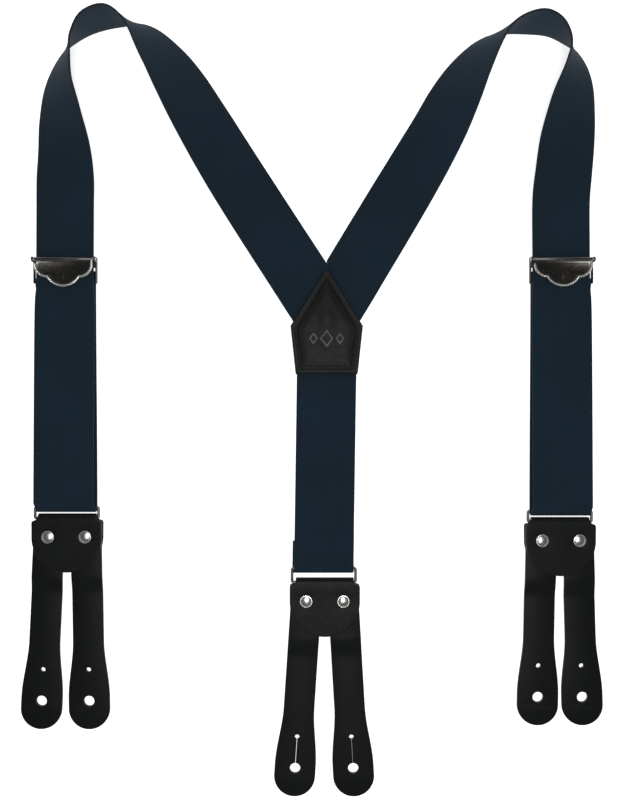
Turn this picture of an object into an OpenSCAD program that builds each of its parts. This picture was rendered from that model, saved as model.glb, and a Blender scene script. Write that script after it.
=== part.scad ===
// Y-back button suspenders laid out flat: +X to the wearer's left, +Y towards the shoulders, +Z up.
// The origin is on the surface they lie on, under the middle of the layout. Units are millimetres.

/* [Webbing] */
// Width of the elastic webbing
web_w = 38; // [37:0.5:39]
// Thickness of the elastic webbing
web_t = 1.4; // [1.2:0.1:1.4]

/* [Layout] */
// Sideways place of the yoke and the back strap
back_x = 9; // [8:0.5:10]
// Sideways place of the left front strap
left_x = -158; // [-159:0.5:-157]
// Sideways place of the right front strap
right_x = 159; // [158:0.5:160]
// Height of the adjusters' hinge pins
adjuster_y = 97; // [94:0.5:100]
// Height of the back ring's webbing bar
back_ring_y = -99; // [-101:0.5:-97]
// Height of the left ring's webbing bar
left_ring_y = -60.3; // [-62.3:0.5:-57.3]
// Height of the right ring's webbing bar
right_ring_y = -62.6; // [-63.6:0.5:-58.6]

/* [Yoke patch] */
// Width across the shoulders of the patch
yoke_w = 46; // [44:1:48]
// Width at the lower edge of the patch
yoke_base_w = 39.5; // [38:0.5:42]
// Height of the patch's point
yoke_apex_y = 93; // [92:1:94]
// Height of the patch's shoulders
yoke_shoulder_y = 55; // [53:1:57]
// Height of the patch's lower edge
yoke_base_y = 25; // [22:1:28]

/* [Button tabs] */
// Width of the leather flap
flap_w = 44.5; // [44:0.5:46]
// Length of the flap from its fold to its rounded end
flap_len = 37.2; // [36:0.2:39]
// Distance from the fold to the rivets
rivet_drop = 14.6; // [14:0.2:16]
// Distance between the two rivets
rivet_gap = 23.6; // [23:0.2:24.6]
// Width of a leg below the flap
leg_w = 19.6; // [19:0.2:20]
// Width of a leg at its button hole
leg_end_w = 26.2; // [24:0.2:26.4]
// Radius of the button hole
button_hole_r = 3.35; // [3:0.05:3.6]
// Distance from rivet to button hole on the back tab
back_reach = 107.4; // [100:0.2:110]
// Distance from rivet to button hole on the left tab
left_reach = 105.2; // [98:0.2:108]
// Distance from rivet to button hole on the right tab
right_reach = 100.4; // [98:0.2:108]

/* [Ring] */
// Radius of the ring's wire
wire_r = 0.9; // [0.8:0.05:0.95]
// Distance between the ring's two bars
ring_pitch = 9; // [9:0.5:11]

/* [Adjuster] */
// Width of the hinged plate
plate_w = 36.8; // [35:0.2:37.2]
// Radius of the hinge pin
pin_r = 0.75; // [0.6:0.05:0.75]

/* [Hidden] */
$fn = 48;

web_color = "#1c2a38";
leather_color = "#23261f";
nickel_color = "#c9cbc8";
antique_color = "#55564f";
thread_color = "#11161c";

// Heights of the layers above the surface
bar_z = 3.0;                              // axis of every ring bar
fold_r = bar_z - web_t;                   // inner radius of a webbing fold
front_z = bar_z + fold_r;                 // underside of the front layer of webbing
flap_t = 1.75;                            // thickness of the folded leather
leg_t = 2.2;                              // thickness of a leg
leg_z = flap_t + 0.1;                     // underside of a leg between the flaps
leather_fold_r = bar_z - flap_t;          // inner radius of the leather fold
tab_fold_w = web_w - 1.2;                  // width of the leather where it passes round the ring
patch_rear_t = 1.4;
stem_z = patch_rear_t + 0.05;             // underside of the back strap at the yoke
strap_z = stem_z + web_t + 0.05;          // underside of the shoulder straps at the yoke
patch_front_z = strap_z + web_t + 0.05;
patch_front_t = 1.65;
patch_corner_r = 1.5;

// The front webbing is drawn in a little where it passes through the adjuster
adjuster_web_w = web_w - 1.6;

// Shoulder straps: stations from the yoke over the shoulder arch to the front ring.
// Each is x, y, roll in degrees (90 stands on edge), height of the lower edge, width.
left_route = [
    [17, 47.5, 0, strap_z, web_w], [-2, 77, 0, strap_z, web_w], [-11, 91, 1, 2.3, web_w],
    [-31, 122, 4, 0.4, web_w], [-52, 155, 12, 0, web_w], [-71, 186.5, 24, 0, web_w],
    [-83, 207, 34, 0, web_w], [-94, 223.5, 47, 0, web_w], [-107, 238.5, 64, 0, web_w],
    [-123, 245.5, 86, 0, web_w], [-138, 242, 86, 0, web_w], [-147.5, 233.5, 76, 0, web_w],
    [-153.5, 223, 64, 0, web_w], [-158, 206, 50, 0, web_w], [-158.3, 187, 35, 0, web_w],
    [-157, 166, 19, 0.5, web_w], [-156.6, 148, 6, 3.4, web_w - 0.5],
    [left_x + 1.2, 132, 0, front_z, adjuster_web_w],
    [left_x + 1.1, 104, 0, front_z, adjuster_web_w], [left_x + 1, 80, 0, front_z, adjuster_web_w],
    [left_x + 0.7, 58, 0, front_z, web_w], [left_x, left_ring_y + 3.4, 0, front_z, web_w]
];
right_route = [
    [1, 47, 0, strap_z, web_w], [19.5, 77, 0, strap_z, web_w], [29, 93, 1, 2.3, web_w],
    [47, 123, 6, 0.4, web_w], [66, 155, 16, 0, web_w], [79, 178, 26, 0, web_w],
    [89, 198, 36, 0, web_w], [99, 216, 51, 0, web_w], [110, 230.5, 66, 0, web_w],
    [122, 239, 80, 0, web_w], [138, 242, 89, 0, web_w], [150, 239, 84, 0, web_w],
    [158.5, 231, 74, 0, web_w], [163, 221.5, 60, 0, web_w], [164.7, 208, 44, 0, web_w],
    [163.3, 190, 28, 0, web_w], [161.5, 172, 15, 0.5, web_w], [159.2, 152, 6, 3.2, web_w - 1],
    [right_x - 1.4, 134, 0, front_z, adjuster_web_w], [right_x - 1.4, 104, 0, front_z, adjuster_web_w],
    [right_x - 1.2, 80, 0, front_z, adjuster_web_w], [right_x - 0.9, 58, 0, front_z, web_w],
    [right_x - 0.2, right_ring_y + 3.4, 0, front_z, web_w]
];
spans_per_station = 4;

// Button tabs: place of the middle, height of the ring's webbing bar, resting angles of the legs
back_tab_x = 7.8;
left_tab_x = -155.9;
right_tab_x = 157.4;
back_leg_angles = [-3.8, 3.4];
left_leg_angles = [-2.75, 0.9];
right_leg_angles = [-1.1, 1.6];

// The back strap hangs a little to the left of straight down, by this slope
back_lean = 0.0145;

// The adjuster stands this far inwards, and each front's fold lies at its own place round the ring
rear_shift = 0.7;
left_fold_x = -156.5;
right_fold_x = 157.7;
side_ring_pitch = 6.9;
back_bar_y = back_ring_y - ring_pitch;
left_bar_y = left_ring_y - side_ring_pitch;
right_bar_y = right_ring_y - side_ring_pitch;
post_r = 1.4;
relief_hole_r = 1.5;
relief_hole_rise = 20;
slit_w = 0.5;

ring_half_w = web_w / 2 + 0.3 + wire_r;   // from the ring's middle to a side wire's axis
ring_corner_r = 1.2;

// Adjuster, measured from its hinge pin: along the strap (v) and up (z)
rail_t = 0.8;
rail_inner = web_w / 2 + 0.3;
pin_z = front_z + web_t + 1.7;
barrel_r = 1.5;
sewn_bar_v = -13.5;
sewn_bar_r = 0.55;
sewn_bar_z = 2.15;
plate_z = pin_z - 1.1;
plate_t = 1.2;
lobe_r = 12;
lobe_v = -5.3;
side_lobe_r = 8.4;
side_lobe_v = -3.2;
rim_w = 1.4;

stitch_len = 2.2;
stitch_step = 3.1;
stitch_w = 0.55;
stitch_t = 0.3;

// ---- helpers ----

function arc_points(cy, cz, r, from, to, n) =
    [for (i = [0 : n]) let (a = from + (to - from) * i / n) [cy + r * cos(a), cz + r * sin(a)]];

// The middle of the back strap at a height y
function back_line(y) = back_x + back_lean * (y - yoke_base_y);

// Catmull-Rom value between b and c of four neighbouring stations
function blend(a, b, c, d, t) =
    (2 * b + (c - a) * t + (2 * a - 5 * b + 4 * c - d) * t * t + (3 * b - a - 3 * c + d) * t * t * t) / 2;

function station(route, i) = route[max(0, min(len(route) - 1, i))];

function smooth_route(route) = concat(
    [for (k = [0 : len(route) - 2], j = [0 : spans_per_station - 1])
        blend(station(route, k - 1), route[k], route[k + 1], station(route, k + 2), j / spans_per_station)],
    [route[len(route) - 1]]);

// The four corners of a strap at one station; side is 1 where the strap's left edge rises, else -1
function strap_corners(here, before, after, side) =
    let (
        run = [after[0] - before[0], after[1] - before[1]],
        dir = run / norm(run),
        roll = here[2] * side,
        across = [-dir[1] * cos(roll), dir[0] * cos(roll), sin(roll)] * here[4] / 2,
        up = [dir[1] * sin(roll), -dir[0] * sin(roll), cos(roll)] * web_t / 2,
        middle = [here[0], here[1], here[3] + abs(across[2]) + up[2]]
    )
    [middle + across + up, middle - across + up, middle - across - up, middle + across - up];

module strap_sweep(route, side) {
    path = smooth_route(route);
    last = len(path) - 1;
    corners = [for (i = [0 : last])
        strap_corners(path[i], path[max(i - 1, 0)], path[min(i + 1, last)], side)];
    points = [for (ring = corners, p = ring) p];
    sides = [for (i = [0 : last - 1], k = [0 : 3], half = [0, 1])
        let (a = 4 * i + k, b = 4 * i + (k + 1) % 4)
        half == 0 ? [a, a + 4, b + 4] : [a, b + 4, b]];
    far = 4 * last;
    ends = [[0, 1, 2], [0, 2, 3], [far + 2, far + 1, far], [far + 3, far + 2, far]];
    polyhedron(points = points, faces = concat(sides, ends));
}

// A line through points in the y-z plane, thickened to t
function thick_line(path, t) =
    let (
        last = len(path) - 1,
        normals = [for (i = [0 : last])
            let (run = path[min(i + 1, last)] - path[max(i - 1, 0)])
            [-run[1], run[0]] / norm(run)]
    )
    concat(
        [for (i = [0 : last]) path[i] + normals[i] * t / 2],
        [for (i = [last : -1 : 0]) path[i] - normals[i] * t / 2]);

// Extrudes a y-z outline along X, centred on x = 0
module across_x(width) {
    translate([-width / 2, 0, 0])
        rotate([90, 0, 90])
            linear_extrude(width)
                children();
}

module x_cylinder(r, length) {
    rotate([0, 90, 0])
        cylinder(r = r, h = length, center = true);
}

// A polygon with each corner rounded to radius r
function rounded(points, r, n = 6) =
    let (last = len(points) - 1)
    [for (i = [0 : last])
        let (
            p = points[i],
            a = points[i == 0 ? last : i - 1] - p,
            b = points[i == last ? 0 : i + 1] - p,
            ua = a / norm(a),
            ub = b / norm(b),
            half = acos(ua * ub) / 2,
            middle = p + (ua + ub) / norm(ua + ub) * r / sin(half),
            start = p + ua * r / tan(half) - middle,
            turn = 180 - 2 * half,
            way = ua[0] * ub[1] - ua[1] * ub[0] > 0 ? -1 : 1
        )
        for (k = [0 : n])
            let (t = way * turn * k / n)
            middle + [start[0] * cos(t) - start[1] * sin(t), start[0] * sin(t) + start[1] * cos(t)]];

function patch_corners(inset, drop) = [
    [0, yoke_apex_y - 1.6 * inset],
    [yoke_w / 2 - inset, yoke_shoulder_y - 0.3 * inset],
    [yoke_base_w / 2 - inset, yoke_base_y + inset - drop],
    [-yoke_base_w / 2 + inset, yoke_base_y + inset - drop],
    [-yoke_w / 2 + inset, yoke_shoulder_y - 0.3 * inset]
];

module stitch(length) {
    translate([0, 0, stitch_t / 2])
        cube([length, stitch_w, stitch_t], center = true);
}

// ---- straps and yoke ----

module shoulder_strap(route, side) {
    color(web_color)
        intersection() {
            strap_sweep(route, side);
            translate([side > 0 ? back_x - 250.05 : back_x + 0.05, -150, -1])
                cube([250, 450, 60]);
        }
}

module left_shoulder_strap() { shoulder_strap(left_route, 1); }

module right_shoulder_strap() { shoulder_strap(right_route, -1); }

module back_strap() {
    top_z = stem_z + web_t / 2;
    hem_z = 1.5 * web_t + 0.05;
    mid_r = fold_r + web_t / 2;
    y = back_ring_y;
    path = concat(
        [[66, top_z], [24, top_z], [20, top_z - 0.3], [14, web_t / 2 + 0.2], [10, web_t / 2]],
        [[y + 26, web_t / 2], [y + 23, web_t / 2 + 0.3], [y + 20, hem_z - 0.1], [y + 18, hem_z]],
        [[y + 4.4, hem_z], [y + 3.2, hem_z + 0.35], [y + 2.2, hem_z + 1.5]],
        arc_points(y, bar_z, mid_r, 62, 270, 16),
        [[y + 17, web_t / 2]]);
    color(web_color)
        multmatrix([[1, back_lean, 0, back_line(0)], [0, 1, 0, 0], [0, 0, 1, 0]])
            across_x(web_w)
                polygon(thick_line(path, web_t));
}

module yoke_front_patch() {
    color(leather_color)
        translate([back_x, 0, patch_front_z])
            linear_extrude(patch_front_t)
                polygon(rounded(patch_corners(0, 0), patch_corner_r));
}

module yoke_rear_patch() {
    color(leather_color)
        translate([back_x, 0, 0])
            linear_extrude(patch_rear_t)
                polygon(rounded(patch_corners(0, 1), patch_corner_r));
}

module yoke_stitching() {
    seam = patch_corners(3.4, 0);
    color(thread_color)
        translate([back_x, 0, patch_front_z + patch_front_t])
            for (i = [0 : 4]) {
                run = seam[(i + 1) % 5] - seam[i];
                count = floor(norm(run) / stitch_step);
                for (k = [0 : count - 1])
                    translate(seam[i] + run * (k + 0.5) / count)
                        rotate(atan2(run[1], run[0]))
                            stitch(stitch_len);
            }
}

module stitch_row(y, z, width) {
    count = floor(width / stitch_step);
    for (k = [0 : count - 1])
        translate([(k - (count - 1) / 2) * stitch_step, y, z])
            stitch(stitch_len);
}

module back_hem_stitching() {
    color(thread_color)
        translate([back_line(back_ring_y + 7), 0, 0]) {
            stitch_row(back_ring_y + 9.5, 2 * web_t + 0.05, web_w - 2);
            stitch_row(back_ring_y + 5, 2 * web_t + 0.05, web_w - 2);
        }
}

// ---- ring ----

module ring(x, y, pitch) {
    reach = ring_half_w - ring_corner_r;
    rise = pitch - 2 * ring_corner_r;
    color(nickel_color)
        translate([x, y, bar_z]) {
            for (bar = [0, -pitch])
                translate([0, bar, 0])
                    x_cylinder(wire_r, 2 * reach);
            for (s = [-1, 1]) {
                translate([s * ring_half_w, -pitch / 2, 0])
                    rotate([90, 0, 0])
                        cylinder(r = wire_r, h = rise, center = true);
                translate([s * reach, -ring_corner_r, 0])
                    rotate(s > 0 ? 0 : 90)
                        rotate_extrude(angle = 90)
                            translate([ring_corner_r, 0])
                                circle(wire_r);
                translate([s * reach, ring_corner_r - pitch, 0])
                    rotate(s > 0 ? 270 : 180)
                        rotate_extrude(angle = 90)
                            translate([ring_corner_r, 0])
                                circle(wire_r);
            }
        }
}

module back_ring() { ring(back_line(back_ring_y), back_ring_y, ring_pitch); }

module left_ring() { ring(left_fold_x + 0.1, left_ring_y, side_ring_pitch); }

module right_ring() { ring(right_fold_x - 0.3, right_ring_y, side_ring_pitch); }

// ---- button tabs; their own origin is on the ring's lower bar ----

module flap_outline() {
    shoulder = 1;
    r = flap_w / 2;
    round_v = leather_fold_r + flap_t - flap_len + r;
    intersection() {
        union() {
            translate([0, round_v])
                circle(r, $fn = 96);
            translate([-r, round_v])
                square([flap_w, -round_v]);
        }
        polygon([
            [-r, -flap_len], [r, -flap_len], [r, -shoulder - 1.6], [r - 1, -shoulder - 0.4],
            [r - 2.6, -shoulder], [tab_fold_w / 2, 0], [-tab_fold_w / 2, 0],
            [2.6 - r, -shoulder], [1 - r, -shoulder - 0.4], [-r, -shoulder - 1.6]
        ]);
    }
}

rivet_v = leather_fold_r + flap_t - rivet_drop;

module at_rivets() {
    for (s = [-1, 1])
        translate([s * rivet_gap / 2, rivet_v, 0])
            children();
}

module tab_wrap(x, y) {
    color(leather_color)
        translate([x, y, 0])
            difference() {
                union() {
                    linear_extrude(flap_t)
                        flap_outline();
                    translate([0, 0, 2 * bar_z - flap_t])
                        linear_extrude(flap_t)
                            flap_outline();
                    across_x(tab_fold_w)
                        difference() {
                            translate([0, bar_z])
                                circle(bar_z);
                            translate([0, bar_z])
                                circle(leather_fold_r);
                            translate([-10, 0])
                                square([10, 10]);
                        }
                }
                at_rivets() {
                    translate([0, 0, -1])
                        cylinder(r = post_r + 0.02, h = 10);
                    translate([0, 0, -1])
                        cylinder(r = 3.85, h = 1.5);
                }
            }
}

module rivet_posts(x, y) {
    color(nickel_color)
        translate([x, y, 0])
            at_rivets() {
                cylinder(r = 3.8, h = 0.48);
                cylinder(r = post_r, h = 2 * bar_z + 0.6);
            }
}

module rivet_caps(x, y) {
    color(nickel_color)
        translate([x, y, 2 * bar_z])
            at_rivets()
                rotate_extrude()
                    difference() {
                        intersection() {
                            translate([0, -3.9])
                                circle(5.6, $fn = 96);
                            square([4, 2]);
                        }
                        square([post_r, 0.62]);
                    }
}

function flare(s, reach) =
    let (t = max(0, min(1, (s - reach + 38) / 36)))
    leg_w / 2 + (leg_end_w - leg_w) / 2 * t * t * (3 - 2 * t);

// A leg, with its rivet at the origin and its button hole towards -Y
module leg_outline(reach) {
    steps = 20;
    end_v = reach + 5;
    top = arc_points(0, 0, leg_w / 2, 0, 180, 24);
    bottom = arc_points(0, -end_v, leg_end_w / 2, 180, 360, 32);
    side = [for (i = [1 : steps - 1]) let (s = end_v * i / steps) [flare(s, reach), -s]];
    left = [for (p = side) [-p[0], p[1]]];
    right = [for (i = [len(side) - 1 : -1 : 0]) side[i]];
    polygon(concat(top, left, bottom, right));
}

module leg(x, y, s, angle, reach) {
    end = reach + 30;
    color(leather_color)
        translate([x + s * rivet_gap / 2, y + rivet_v, 0])
            rotate(angle)
                difference() {
                    intersection() {
                        linear_extrude(10)
                            leg_outline(reach);
                        across_x(60)
                            polygon([
                                [15, leg_z], [15, leg_z + leg_t], [-24, leg_z + leg_t],
                                [-30, leg_t + 0.9], [-36, leg_t], [-end, leg_t], [-end, 0],
                                [-38, 0], [-31, 0.9], [-26, leg_z]
                            ]);
                    }
                    translate([0, 0, -1])
                        cylinder(r = post_r + 0.08, h = 10);
                    translate([0, -reach, -1])
                        cylinder(r = button_hole_r, h = 10);
                    translate([0, relief_hole_rise - reach, -1])
                        cylinder(r = relief_hole_r, h = 10);
                    translate([-slit_w / 2, -reach, -1])
                        cube([slit_w, relief_hole_rise, 10]);
                }
}

module back_tab_wrap() { tab_wrap(back_tab_x, back_bar_y); }

module back_rivet_caps() { rivet_caps(back_tab_x, back_bar_y); }

module back_rivet_posts() { rivet_posts(back_tab_x, back_bar_y); }

module back_left_leg() { leg(back_tab_x, back_bar_y, -1, back_leg_angles[0], back_reach); }

module back_right_leg() { leg(back_tab_x, back_bar_y, 1, back_leg_angles[1], back_reach); }

module left_tab_wrap() { tab_wrap(left_tab_x, left_bar_y); }

module left_rivet_caps() { rivet_caps(left_tab_x, left_bar_y); }

module left_rivet_posts() { rivet_posts(left_tab_x, left_bar_y); }

module left_outer_leg() { leg(left_tab_x, left_bar_y, -1, left_leg_angles[0], left_reach); }

module left_inner_leg() { leg(left_tab_x, left_bar_y, 1, left_leg_angles[1], left_reach); }

module right_tab_wrap() { tab_wrap(right_tab_x, right_bar_y); }

module right_rivet_caps() { rivet_caps(right_tab_x, right_bar_y); }

module right_rivet_posts() { rivet_posts(right_tab_x, right_bar_y); }

module right_inner_leg() { leg(right_tab_x, right_bar_y, -1, right_leg_angles[0], right_reach); }

module right_outer_leg() { leg(right_tab_x, right_bar_y, 1, right_leg_angles[1], right_reach); }

// ---- adjusters ----

// The webbing from the ring back up behind the front layer, its end sewn round the adjuster's bar
module strap_return(fold_x, end_x, ring_y) {
    mid_r = fold_r + web_t / 2;
    sewn_y = adjuster_y + sewn_bar_v;
    slope = (end_x - fold_x) / (sewn_y - ring_y);
    sewn_r = sewn_bar_z - web_t / 2;
    path = concat(
        [[ring_y + 3.1, bar_z + mid_r]],
        arc_points(ring_y, bar_z, mid_r, 90, 270, 14),
        arc_points(sewn_y, sewn_bar_z, sewn_r, -90, 90, 10),
        [[sewn_y - 1.6, sewn_bar_z + sewn_r - 0.35], [sewn_y - 3.6, 2.5], [sewn_y - 5, 2.15]],
        [[sewn_y - 14, 2.15]]);
    color(web_color)
        multmatrix([[1, slope, 0, fold_x - slope * ring_y], [0, 1, 0, 0], [0, 0, 1, 0]])
            across_x(web_w)
                polygon(thick_line(path, web_t));
}

module end_stitching(x) {
    color(thread_color)
        translate([x, 0, 0])
            stitch_row(adjuster_y + sewn_bar_v - 9.5, 2.86, web_w - 2);
}

module adjuster_frame(x) {
    rail_v = sewn_bar_v - 1.4;
    color(nickel_color)
        translate([x, adjuster_y, 0]) {
            for (s = [-1, 1])
                translate([s * (rail_inner + rail_t / 2), 0, 0])
                    across_x(rail_t)
                        difference() {
                            union() {
                                translate([sewn_bar_v, 2.8])
                                    circle(1.4);
                                translate([sewn_bar_v, 1.4])
                                    square([1.6 - sewn_bar_v, 2.8]);
                                translate([-1.6, 1.4])
                                    square([3.2, pin_z - 1.4]);
                                translate([0, pin_z])
                                    circle(1.6);
                            }
                            translate([0, pin_z])
                                circle(pin_r);
                        }
            translate([0, sewn_bar_v, sewn_bar_z])
                x_cylinder(sewn_bar_r, 2 * rail_inner + 0.2);
            translate([-rail_inner - 0.1, -5, 3.1])
                cube([2 * rail_inner + 0.2, 4.4, 1.1]);
        }
}

module adjuster_pin(x) {
    color(nickel_color)
        translate([x, adjuster_y, pin_z])
            x_cylinder(pin_r, 2 * (rail_inner + rail_t) + 0.4);
}

module plate_outline(inset) {
    intersection() {
        union() {
            translate([0, lobe_v])
                circle(lobe_r - inset, $fn = 96);
            for (s = [-1, 1])
                translate([s * (plate_w / 2 - side_lobe_r), side_lobe_v])
                    circle(side_lobe_r - inset, $fn = 96);
            translate([inset - plate_w / 2, side_lobe_v])
                square([plate_w - 2 * inset, -side_lobe_v]);
        }
        translate([-plate_w / 2, -20])
            square([plate_w, 20 - inset]);
    }
}

module adjuster_lever(x) {
    color(antique_color)
        translate([x, adjuster_y, 0])
            difference() {
                union() {
                    translate([0, 0, pin_z])
                        x_cylinder(barrel_r, plate_w);
                    translate([0, 0, plate_z])
                        linear_extrude(plate_t)
                            plate_outline(0);
                    translate([0, 0, plate_z + plate_t])
                        linear_extrude(0.6)
                            difference() {
                                plate_outline(0);
                                plate_outline(rim_w);
                            }
                    for (k = [-6 : 6])
                        translate([k * 2.4, -3.8, plate_z - 0.15])
                            cube([1.2, 1.4, 0.5], center = true);
                }
                translate([0, 0, pin_z])
                    x_cylinder(pin_r + 0.06, plate_w + 2);
            }
}

module left_strap_return() { strap_return(left_fold_x, left_x + rear_shift, left_ring_y); }

module left_end_stitching() { end_stitching(left_x + rear_shift); }

module left_adjuster_frame() { adjuster_frame(left_x + rear_shift); }

module left_adjuster_pin() { adjuster_pin(left_x + rear_shift); }

module left_adjuster_lever() { adjuster_lever(left_x + rear_shift); }

module right_strap_return() { strap_return(right_fold_x, right_x - rear_shift, right_ring_y); }

module right_end_stitching() { end_stitching(right_x - rear_shift); }

module right_adjuster_frame() { adjuster_frame(right_x - rear_shift); }

module right_adjuster_pin() { adjuster_pin(right_x - rear_shift); }

module right_adjuster_lever() { adjuster_lever(right_x - rear_shift); }

left_shoulder_strap();
right_shoulder_strap();
back_strap();
yoke_front_patch();
yoke_rear_patch();
yoke_stitching();
back_hem_stitching();
back_ring();
back_tab_wrap();
back_rivet_caps();
back_rivet_posts();
back_left_leg();
back_right_leg();
left_strap_return();
left_end_stitching();
left_adjuster_frame();
left_adjuster_pin();
left_adjuster_lever();
left_ring();
left_tab_wrap();
left_rivet_caps();
left_rivet_posts();
left_outer_leg();
left_inner_leg();
right_strap_return();
right_end_stitching();
right_adjuster_frame();
right_adjuster_pin();
right_adjuster_lever();
right_ring();
right_tab_wrap();
right_rivet_caps();
right_rivet_posts();
right_inner_leg();
right_outer_leg();
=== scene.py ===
# %% [markdown]
# # A pair of button suspenders, laid out flat
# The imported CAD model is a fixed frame: it says where every strap, ring, rivet and leather leg is.
# This lesson keeps the small metal nodes that are already the right shape, and models the webbing,
# the leather and the hinged adjuster plates again with the detail that a hand would feel.

# %% Load the frame
import math

import bpy
from mathutils import Matrix, Vector


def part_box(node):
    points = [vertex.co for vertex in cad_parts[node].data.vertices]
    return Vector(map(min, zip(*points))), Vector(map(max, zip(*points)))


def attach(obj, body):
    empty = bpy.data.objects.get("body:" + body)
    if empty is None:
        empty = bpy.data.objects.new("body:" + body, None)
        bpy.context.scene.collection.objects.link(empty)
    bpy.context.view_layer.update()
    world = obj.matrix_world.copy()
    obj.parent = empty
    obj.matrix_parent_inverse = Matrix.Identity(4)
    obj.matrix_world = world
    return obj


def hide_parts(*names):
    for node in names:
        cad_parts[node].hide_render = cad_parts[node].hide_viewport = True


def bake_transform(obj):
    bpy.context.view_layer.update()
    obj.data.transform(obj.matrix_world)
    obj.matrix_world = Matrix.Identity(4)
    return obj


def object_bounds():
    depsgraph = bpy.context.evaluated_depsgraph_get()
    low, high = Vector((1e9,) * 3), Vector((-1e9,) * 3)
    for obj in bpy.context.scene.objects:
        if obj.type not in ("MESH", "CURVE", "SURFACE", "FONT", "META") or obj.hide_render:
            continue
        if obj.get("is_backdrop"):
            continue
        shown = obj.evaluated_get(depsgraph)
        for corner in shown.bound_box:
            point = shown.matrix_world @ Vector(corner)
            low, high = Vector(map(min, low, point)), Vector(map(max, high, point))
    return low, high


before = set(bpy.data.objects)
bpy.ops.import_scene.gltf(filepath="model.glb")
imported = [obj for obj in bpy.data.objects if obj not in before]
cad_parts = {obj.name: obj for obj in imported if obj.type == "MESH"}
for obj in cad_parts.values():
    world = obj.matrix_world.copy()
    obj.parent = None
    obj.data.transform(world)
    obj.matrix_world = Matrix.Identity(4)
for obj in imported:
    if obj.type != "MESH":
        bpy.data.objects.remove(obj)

cad_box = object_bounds()
MM = 0.001

# %% [markdown]
# ## The camera
# The suspenders are seen from straight above, from a little over half a metre. A camera that near
# shows perspective: what stands up from the table is drawn a little larger and further out.

# %% Camera
CAMERA_HEIGHT = 570 * MM
VIEW_LENGTH = 512 * MM

camera_data = bpy.data.cameras.new("camera")
camera_data.angle = 2 * math.atan(VIEW_LENGTH / 2 / CAMERA_HEIGHT)
camera = bpy.data.objects.new("camera", camera_data)
camera.location = (0, 8 * MM, CAMERA_HEIGHT)
bpy.context.collection.objects.link(camera)
bpy.context.scene.camera = camera
print("camera angle:", round(math.degrees(camera_data.angle), 1), "degrees")

# %% [markdown]
# ## Small tools
# Every operator works on what is selected, so the first tool selects one piece and nothing else.
# The others are the moves that a workshop repeats: cut a blank to an outline, soften its sharp
# edges, punch it, score it into a grid so that it can bend, and settle its place.

# %% Tools for selecting and finishing
def take(piece):
    """Makes piece the one selected and active object, in object mode."""
    if bpy.context.object and bpy.context.object.mode != "OBJECT":
        bpy.ops.object.mode_set(mode="OBJECT")
    bpy.ops.object.select_all(action="DESELECT")
    piece.select_set(True)
    bpy.context.view_layer.objects.active = piece
    return piece


def clear_selection():
    bpy.ops.object.select_all(action="DESELECT")


def named(name):
    """Gives the object that an operator has just added its name."""
    piece = bpy.context.object
    piece.name = piece.data.name = name
    return piece


def use_modifier(piece, kind, **settings):
    """Adds a modifier and applies it at once."""
    take(piece)
    modifier = piece.modifiers.new(kind.lower(), kind)
    for setting, value in settings.items():
        setattr(modifier, setting, value)
    bpy.ops.object.modifier_apply(modifier=modifier.name)
    return piece


def settle(piece, place=(0, 0, 0), turn=0.0):
    """Moves the mesh to its place, so that the object itself stays at the origin."""
    piece.data.transform(Matrix.Translation(Vector(place)) @ Matrix.Rotation(turn, 4, "Z"))
    piece.data.update()
    return piece


def joined(name, pieces):
    """Joins pieces into the first of them."""
    take(pieces[0])
    for piece in pieces[1:]:
        piece.select_set(True)
    bpy.ops.object.join()
    return named(name)


def copy_of(piece, name):
    """A copy with a mesh of its own."""
    twin = piece.copy()
    twin.data = piece.data.copy()
    twin.name = twin.data.name = name
    bpy.context.collection.objects.link(twin)
    return twin


def smooth(piece, degrees=35):
    take(piece)
    bpy.ops.object.shade_smooth_by_angle(angle=math.radians(degrees))
    return piece


# %% Tools for cutting and shaping flat pieces
def arc(cx, cy, r, start, end, steps):
    """Points along an arc, its angles in degrees."""
    angles = [math.radians(start + (end - start) * i / steps) for i in range(steps + 1)]
    return [(cx + r * math.cos(a), cy + r * math.sin(a)) for a in angles]


def blank(name, outline, thickness, base=0.0):
    """A flat piece cut to an outline, its underside at the height base."""
    clear_selection()
    bpy.ops.mesh.primitive_circle_add(vertices=len(outline), radius=MM, fill_type="NGON")
    piece = named(name)
    for vertex, (x, y) in zip(piece.data.vertices, outline):
        vertex.co = (x, y, base)
    bpy.ops.object.mode_set(mode="EDIT")
    bpy.ops.mesh.select_all(action="SELECT")
    bpy.ops.mesh.extrude_region_move(TRANSFORM_OT_translate={"value": (0, 0, thickness)})
    bpy.ops.mesh.select_all(action="SELECT")
    bpy.ops.mesh.normals_make_consistent(inside=False)
    bpy.ops.object.mode_set(mode="OBJECT")
    return piece


def soften(piece, width, segments=3, sharper_than=55):
    """Rounds every edge that is sharper than an angle."""
    take(piece)
    bpy.ops.object.mode_set(mode="EDIT")
    bpy.ops.mesh.select_mode(type="EDGE")
    bpy.ops.mesh.select_all(action="DESELECT")
    bpy.ops.mesh.edges_select_sharp(sharpness=math.radians(sharper_than))
    bpy.ops.mesh.bevel(offset=width, segments=segments, profile=0.5, clamp_overlap=False)
    bpy.ops.object.mode_set(mode="OBJECT")
    return piece


def punch(piece, x, y, radius, depth, base=-MM, vertices=40):
    """Cuts a round hole through the piece, or a pit from the height base upwards."""
    clear_selection()
    bpy.ops.mesh.primitive_cylinder_add(
        vertices=vertices, radius=radius, depth=depth, location=(x, y, base + depth / 2)
    )
    return cut(piece, named("punch"))


def cut(piece, cutter):
    """Takes the cutter's shape out of the piece."""
    use_modifier(piece, "BOOLEAN", object=cutter, operation="DIFFERENCE", solver="EXACT")
    bpy.data.objects.remove(cutter)
    return piece


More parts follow.
